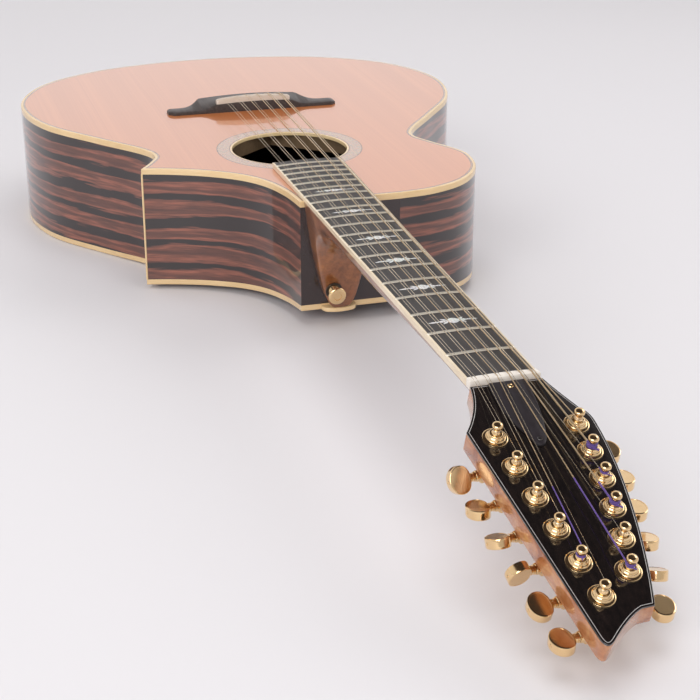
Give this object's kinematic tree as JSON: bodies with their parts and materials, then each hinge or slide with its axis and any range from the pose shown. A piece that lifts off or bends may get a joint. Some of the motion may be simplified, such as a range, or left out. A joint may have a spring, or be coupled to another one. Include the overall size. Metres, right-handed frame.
{
  "type": "acoustic guitar",
  "caption": "Acoustic guitar with paired strings, a sharp-horned cutaway, pinless bridge, bound body, tapered angled headstock and geared tuners that turn.",
  "frame": {"origin": "on the flat of the back, straight below the end of the scale length, about 4 mm in front of the middle of the saddle", "axes": "+Z out of the soundboard, +Y from the neck to the tail, +X to the bass side; the guitar lies on its back"},
  "size_m": [0.4358, 1.0898, 0.1277],
  "materials": {
    "soundboard_cedar": "high gloss clear lacquer over straight-grained cedar",
    "side_wood": "high gloss lacquer over striped dark and reddish-brown ebony",
    "neck_wood": "gloss lacquer over reddish-brown mahogany",
    "ebony": "satin black ebony, glossy on the head",
    "binding": "gloss cream",
    "bone": "polished white bone",
    "pearl": "grey shell mosaic under lacquer",
    "brace_spruce": "bare spruce",
    "block_mahogany": "bare mahogany and maple",
    "steel": "plain steel",
    "gold": "polished gold plate"
  },
  "bodies": {
    "root": {"soundboard": "soundboard_cedar", "rosette": "pearl", "back": "side_wood", "side_bass": "side_wood", "side_treble": "side_wood", "side_cutaway": "side_wood", "top_binding": "binding", "back_binding": "binding", "neck_block": "block_mahogany", "tail_block": "block_mahogany", "x_brace": "brace_spruce", "back_bracing": "brace_spruce", "bridge": "ebony", "saddle": "bone", "bridge_plate": "block_mahogany", "neck": "neck_wood", "truss_rod": "steel", "heel_cap": "binding", "fingerboard": "ebony", "nut": "bone", "head_plate": "ebony", "truss_rod_cover": "ebony", "strap_button_heel": "gold", "strap_button_tail": "gold", "housing_treble_1": "gold", "housing_treble_2": "gold", "housing_treble_3": "gold", "housing_treble_4": "gold", "housing_treble_5": "gold", "housing_treble_6": "gold", "housing_bass_1": "gold", "housing_bass_2": "gold", "housing_bass_3": "gold", "housing_bass_4": "gold", "housing_bass_5": "gold", "housing_bass_6": "gold"},
    "post_treble_1": {"post_treble_1": "gold"},
    "button_treble_1": {"button_treble_1": "gold"},
    "post_treble_2": {"post_treble_2": "gold"},
    "button_treble_2": {"button_treble_2": "gold"},
    "post_treble_3": {"post_treble_3": "gold"},
    "button_treble_3": {"button_treble_3": "gold"},
    "post_treble_4": {"post_treble_4": "gold"},
    "button_treble_4": {"button_treble_4": "gold"},
    "post_treble_5": {"post_treble_5": "gold"},
    "button_treble_5": {"button_treble_5": "gold"},
    "post_treble_6": {"post_treble_6": "gold"},
    "button_treble_6": {"button_treble_6": "gold"},
    "post_bass_1": {"post_bass_1": "gold"},
    "button_bass_1": {"button_bass_1": "gold"},
    "post_bass_2": {"post_bass_2": "gold"},
    "button_bass_2": {"button_bass_2": "gold"},
    "post_bass_3": {"post_bass_3": "gold"},
    "button_bass_3": {"button_bass_3": "gold"},
    "post_bass_4": {"post_bass_4": "gold"},
    "button_bass_4": {"button_bass_4": "gold"},
    "post_bass_5": {"post_bass_5": "gold"},
    "button_bass_5": {"button_bass_5": "gold"},
    "post_bass_6": {"post_bass_6": "gold"},
    "button_bass_6": {"button_bass_6": "gold"}
  },
  "joints": [
    {"name": "button_treble_1_turn", "type": "hinge", "parent": "root", "child": "button_treble_1", "pos_m": [-0.02346, -0.69678, 0.06238], "axis": [-0.9925, -0.1159, -0.0398], "continuous": true},
    {"name": "post_treble_1_turn", "type": "hinge", "parent": "root", "child": "post_treble_1", "pos_m": [-0.0242, -0.6984, 0.0854], "axis": [0, -0.325, 0.9457], "continuous": true},
    {"name": "button_treble_2_turn", "type": "hinge", "parent": "root", "child": "button_treble_2", "pos_m": [-0.02037, -0.72052, 0.05422], "axis": [-0.9925, -0.1159, -0.0398], "continuous": true},
    {"name": "post_treble_2_turn", "type": "hinge", "parent": "root", "child": "post_treble_2", "pos_m": [-0.0211, -0.72214, 0.07724], "axis": [0, -0.325, 0.9457], "continuous": true},
    {"name": "button_treble_3_turn", "type": "hinge", "parent": "root", "child": "button_treble_3", "pos_m": [-0.01726, -0.74426, 0.04606], "axis": [-0.9925, -0.1159, -0.0398], "continuous": true},
    {"name": "post_treble_3_turn", "type": "hinge", "parent": "root", "child": "post_treble_3", "pos_m": [-0.018, -0.74587, 0.06908], "axis": [0, -0.325, 0.9457], "continuous": true},
    {"name": "button_treble_4_turn", "type": "hinge", "parent": "root", "child": "button_treble_4", "pos_m": [-0.01417, -0.76799, 0.0379], "axis": [-0.9925, -0.1159, -0.0398], "continuous": true},
    {"name": "post_treble_4_turn", "type": "hinge", "parent": "root", "child": "post_treble_4", "pos_m": [-0.0149, -0.76961, 0.06092], "axis": [0, -0.325, 0.9457], "continuous": true},
    {"name": "button_treble_5_turn", "type": "hinge", "parent": "root", "child": "button_treble_5", "pos_m": [-0.01107, -0.79173, 0.02974], "axis": [-0.9925, -0.1159, -0.0398], "continuous": true},
    {"name": "post_treble_5_turn", "type": "hinge", "parent": "root", "child": "post_treble_5", "pos_m": [-0.0118, -0.79335, 0.05277], "axis": [0, -0.325, 0.9457], "continuous": true},
    {"name": "button_treble_6_turn", "type": "hinge", "parent": "root", "child": "button_treble_6", "pos_m": [-0.00796, -0.81547, 0.02158], "axis": [-0.9925, -0.1159, -0.0398], "continuous": true},
    {"name": "post_treble_6_turn", "type": "hinge", "parent": "root", "child": "post_treble_6", "pos_m": [-0.0087, -0.81708, 0.04461], "axis": [0, -0.325, 0.9457], "continuous": true},
    {"name": "button_bass_1_turn", "type": "hinge", "parent": "root", "child": "button_bass_1", "pos_m": [0.02918, -0.69465, 0.06311], "axis": [1, 0.0048, 0.0017], "continuous": true},
    {"name": "post_bass_1_turn", "type": "hinge", "parent": "root", "child": "post_bass_1", "pos_m": [0.02915, -0.69622, 0.08615], "axis": [0, -0.325, 0.9457], "continuous": true},
    {"name": "button_bass_2_turn", "type": "hinge", "parent": "root", "child": "button_bass_2", "pos_m": [0.02828, -0.71623, 0.05569], "axis": [0.9986, -0.0504, -0.0173], "continuous": true},
    {"name": "post_bass_2_turn", "type": "hinge", "parent": "root", "child": "post_bass_2", "pos_m": [0.02859, -0.71781, 0.07873], "axis": [0, -0.325, 0.9457], "continuous": true},
    {"name": "button_bass_3_turn", "type": "hinge", "parent": "root", "child": "button_bass_3", "pos_m": [0.02604, -0.73779, 0.04828], "axis": [0.9938, -0.105, -0.0361], "continuous": true},
    {"name": "post_bass_3_turn", "type": "hinge", "parent": "root", "child": "post_bass_3", "pos_m": [0.02671, -0.7394, 0.07131], "axis": [0, -0.325, 0.9457], "continuous": true},
    {"name": "button_bass_4_turn", "type": "hinge", "parent": "root", "child": "button_bass_4", "pos_m": [0.02248, -0.75934, 0.04087], "axis": [0.9858, -0.1587, -0.0545], "continuous": true},
    {"name": "post_bass_4_turn", "type": "hinge", "parent": "root", "child": "post_bass_4", "pos_m": [0.02349, -0.76099, 0.06389], "axis": [0, -0.325, 0.9457], "continuous": true},
    {"name": "button_bass_5_turn", "type": "hinge", "parent": "root", "child": "button_bass_5", "pos_m": [0.0176, -0.78087, 0.03347], "axis": [0.9748, -0.2108, -0.0725], "continuous": true},
    {"name": "post_bass_5_turn", "type": "hinge", "parent": "root", "child": "post_bass_5", "pos_m": [0.01894, -0.78258, 0.05647], "axis": [0, -0.325, 0.9457], "continuous": true},
    {"name": "button_bass_6_turn", "type": "hinge", "parent": "root", "child": "button_bass_6", "pos_m": [0.0114, -0.80238, 0.02608], "axis": [0.9612, -0.261, -0.0897], "continuous": true},
    {"name": "post_bass_6_turn", "type": "hinge", "parent": "root", "child": "post_bass_6", "pos_m": [0.01305, -0.80417, 0.04904], "axis": [0, -0.325, 0.9457], "continuous": true}
  ],
  "couplings": [
    {"joint": "post_treble_1_turn", "follows": "button_treble_1_turn", "ratio": 0.055556},
    {"joint": "post_treble_2_turn", "follows": "button_treble_2_turn", "ratio": 0.055556},
    {"joint": "post_treble_3_turn", "follows": "button_treble_3_turn", "ratio": 0.055556},
    {"joint": "post_treble_4_turn", "follows": "button_treble_4_turn", "ratio": 0.055556},
    {"joint": "post_treble_5_turn", "follows": "button_treble_5_turn", "ratio": 0.055556},
    {"joint": "post_treble_6_turn", "follows": "button_treble_6_turn", "ratio": 0.055556},
    {"joint": "post_bass_1_turn", "follows": "button_bass_1_turn", "ratio": -0.055556},
    {"joint": "post_bass_2_turn", "follows": "button_bass_2_turn", "ratio": -0.055556},
    {"joint": "post_bass_3_turn", "follows": "button_bass_3_turn", "ratio": -0.055556},
    {"joint": "post_bass_4_turn", "follows": "button_bass_4_turn", "ratio": -0.055556},
    {"joint": "post_bass_5_turn", "follows": "button_bass_5_turn", "ratio": -0.055556},
    {"joint": "post_bass_6_turn", "follows": "button_bass_6_turn", "ratio": -0.055556}
  ]
}
